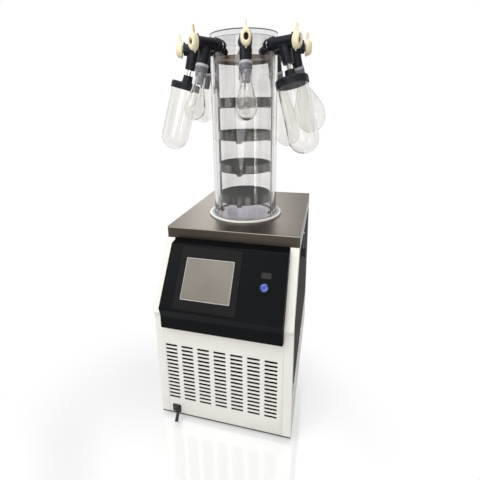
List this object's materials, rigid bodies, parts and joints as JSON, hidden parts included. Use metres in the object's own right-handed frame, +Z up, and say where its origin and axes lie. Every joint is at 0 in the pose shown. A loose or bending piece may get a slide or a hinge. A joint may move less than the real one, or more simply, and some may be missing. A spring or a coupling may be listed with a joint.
{
  "type": "laboratory freeze dryer",
  "caption": "Bench freeze dryer: steel cabinet with a cold trap, touch panel, clear chamber with a tray rack, and a ring of valves carrying glass flasks.",
  "frame": {"origin": "on the floor, under the middle of the machine", "axes": "+X to the machine's right hand side seen from its front, +Y to its back, +Z up"},
  "size_m": [0.5403, 0.6833, 1.219],
  "materials": {
    "white_steel": "satin paint",
    "dark_steel": "satin paint",
    "brushed_deck": "brushed",
    "black_console": "semi gloss",
    "membrane": "satin film",
    "display": "gloss",
    "silver_trim": "satin",
    "blue_plastic": "gloss",
    "black_rubber": "matt",
    "ivory_plastic": "semi gloss",
    "polished_steel": "polished",
    "tray_steel": "satin",
    "silicone": "smooth",
    "acrylic": "clear",
    "flask_glass": "clear",
    "foam": "foam",
    "copper": "drawn tube",
    "aluminium": "mill",
    "black_enamel": "enamel",
    "dark_metal": "satin",
    "black_plastic": "matt"
  },
  "bodies": {
    "machine": {"touch_bezel": "membrane", "screen_frame": "silver_trim", "touch_screen": "display", "button_ring": "black_rubber", "base_pan": "white_steel", "foot_front_left": "black_rubber", "foot_front_right": "black_rubber", "foot_rear_left": "black_rubber", "foot_rear_right": "black_rubber", "left_side_frame": "white_steel", "left_side_cover": "dark_steel", "right_side_frame": "white_steel", "right_side_cover": "dark_steel", "back_panel": "white_steel", "front_grille": "white_steel", "deck": "brushed_deck", "control_console": "black_console", "cold_trap_well": "polished_steel", "trap_insulation": "foam", "evaporator_coil": "copper", "base_gasket": "silicone", "chamber": "acrylic", "tray_rack": "tray_steel", "tray_1": "tray_steel", "tray_2": "tray_steel", "tray_3": "tray_steel", "tray_4": "tray_steel", "valve_1": "black_rubber", "flask_1": "flask_glass", "valve_2": "black_rubber", "flask_2": "flask_glass", "valve_3": "black_rubber", "flask_3": "flask_glass", "valve_4": "black_rubber", "flask_4": "flask_glass", "valve_5": "black_rubber", "flask_5": "flask_glass", "valve_6": "black_rubber", "flask_6": "flask_glass", "valve_7": "black_rubber", "flask_7": "flask_glass", "valve_8": "black_rubber", "flask_8": "flask_glass", "condenser": "aluminium", "fan_motor": "black_enamel", "compressor": "black_enamel", "vacuum_port": "dark_metal", "drain_valve": "dark_metal", "power_inlet": "black_plastic"},
    "knob_1": {"valve_knob_1": "ivory_plastic"},
    "knob_2": {"valve_knob_2": "ivory_plastic"},
    "knob_3": {"valve_knob_3": "ivory_plastic"},
    "knob_4": {"valve_knob_4": "ivory_plastic"},
    "knob_5": {"valve_knob_5": "ivory_plastic"},
    "knob_6": {"valve_knob_6": "ivory_plastic"},
    "knob_7": {"valve_knob_7": "ivory_plastic"},
    "knob_8": {"valve_knob_8": "ivory_plastic"},
    "button": {"power_button": "blue_plastic"},
    "lever": {"drain_lever": "dark_metal"},
    "fan": {"condenser_fan": "black_enamel"}
  },
  "joints": [
    {"name": "knob_1_turn", "type": "hinge", "parent": "machine", "child": "knob_1", "pos_m": [0.04718, -0.14909, 1.172], "axis": [0.2588, -0.9659, 0], "range_deg": [0, 180]},
    {"name": "knob_2_turn", "type": "hinge", "parent": "machine", "child": "knob_2", "pos_m": [0.15788, -0.06415, 1.172], "axis": [0.866, -0.5, 0], "range_deg": [0, 180]},
    {"name": "knob_3_turn", "type": "hinge", "parent": "machine", "child": "knob_3", "pos_m": [0.17609, 0.07418, 1.172], "axis": [0.9659, 0.2588, 0], "range_deg": [0, 180]},
    {"name": "knob_4_turn", "type": "hinge", "parent": "machine", "child": "knob_4", "pos_m": [0.09115, 0.18488, 1.172], "axis": [0.5, 0.866, 0], "range_deg": [0, 180]},
    {"name": "knob_5_turn", "type": "hinge", "parent": "machine", "child": "knob_5", "pos_m": [-0.04718, 0.20309, 1.172], "axis": [-0.2588, 0.9659, 0], "range_deg": [0, 180]},
    {"name": "knob_6_turn", "type": "hinge", "parent": "machine", "child": "knob_6", "pos_m": [-0.15788, 0.11815, 1.172], "axis": [-0.866, 0.5, 0], "range_deg": [0, 180]},
    {"name": "knob_7_turn", "type": "hinge", "parent": "machine", "child": "knob_7", "pos_m": [-0.17609, -0.02018, 1.172], "axis": [-0.9659, -0.2588, 0], "range_deg": [0, 180]},
    {"name": "knob_8_turn", "type": "hinge", "parent": "machine", "child": "knob_8", "pos_m": [-0.09115, -0.13088, 1.172], "axis": [-0.5, -0.866, 0], "range_deg": [0, 180]},
    {"name": "button_press", "type": "slide", "parent": "machine", "child": "button", "axis": [0, 0.8077, -0.5896], "range_m": [0, 0.003], "stiffness_N_per_m": 400},
    {"name": "lever_turn", "type": "hinge", "parent": "machine", "child": "lever", "pos_m": [-0.151, -0.3133, 0.045], "axis": [0, 0, 1], "range_deg": [0, 90]},
    {"name": "fan_spin", "type": "hinge", "parent": "machine", "child": "fan", "pos_m": [0, -0.229, 0.1693], "axis": [0, 1, 0], "continuous": true}
  ]
}
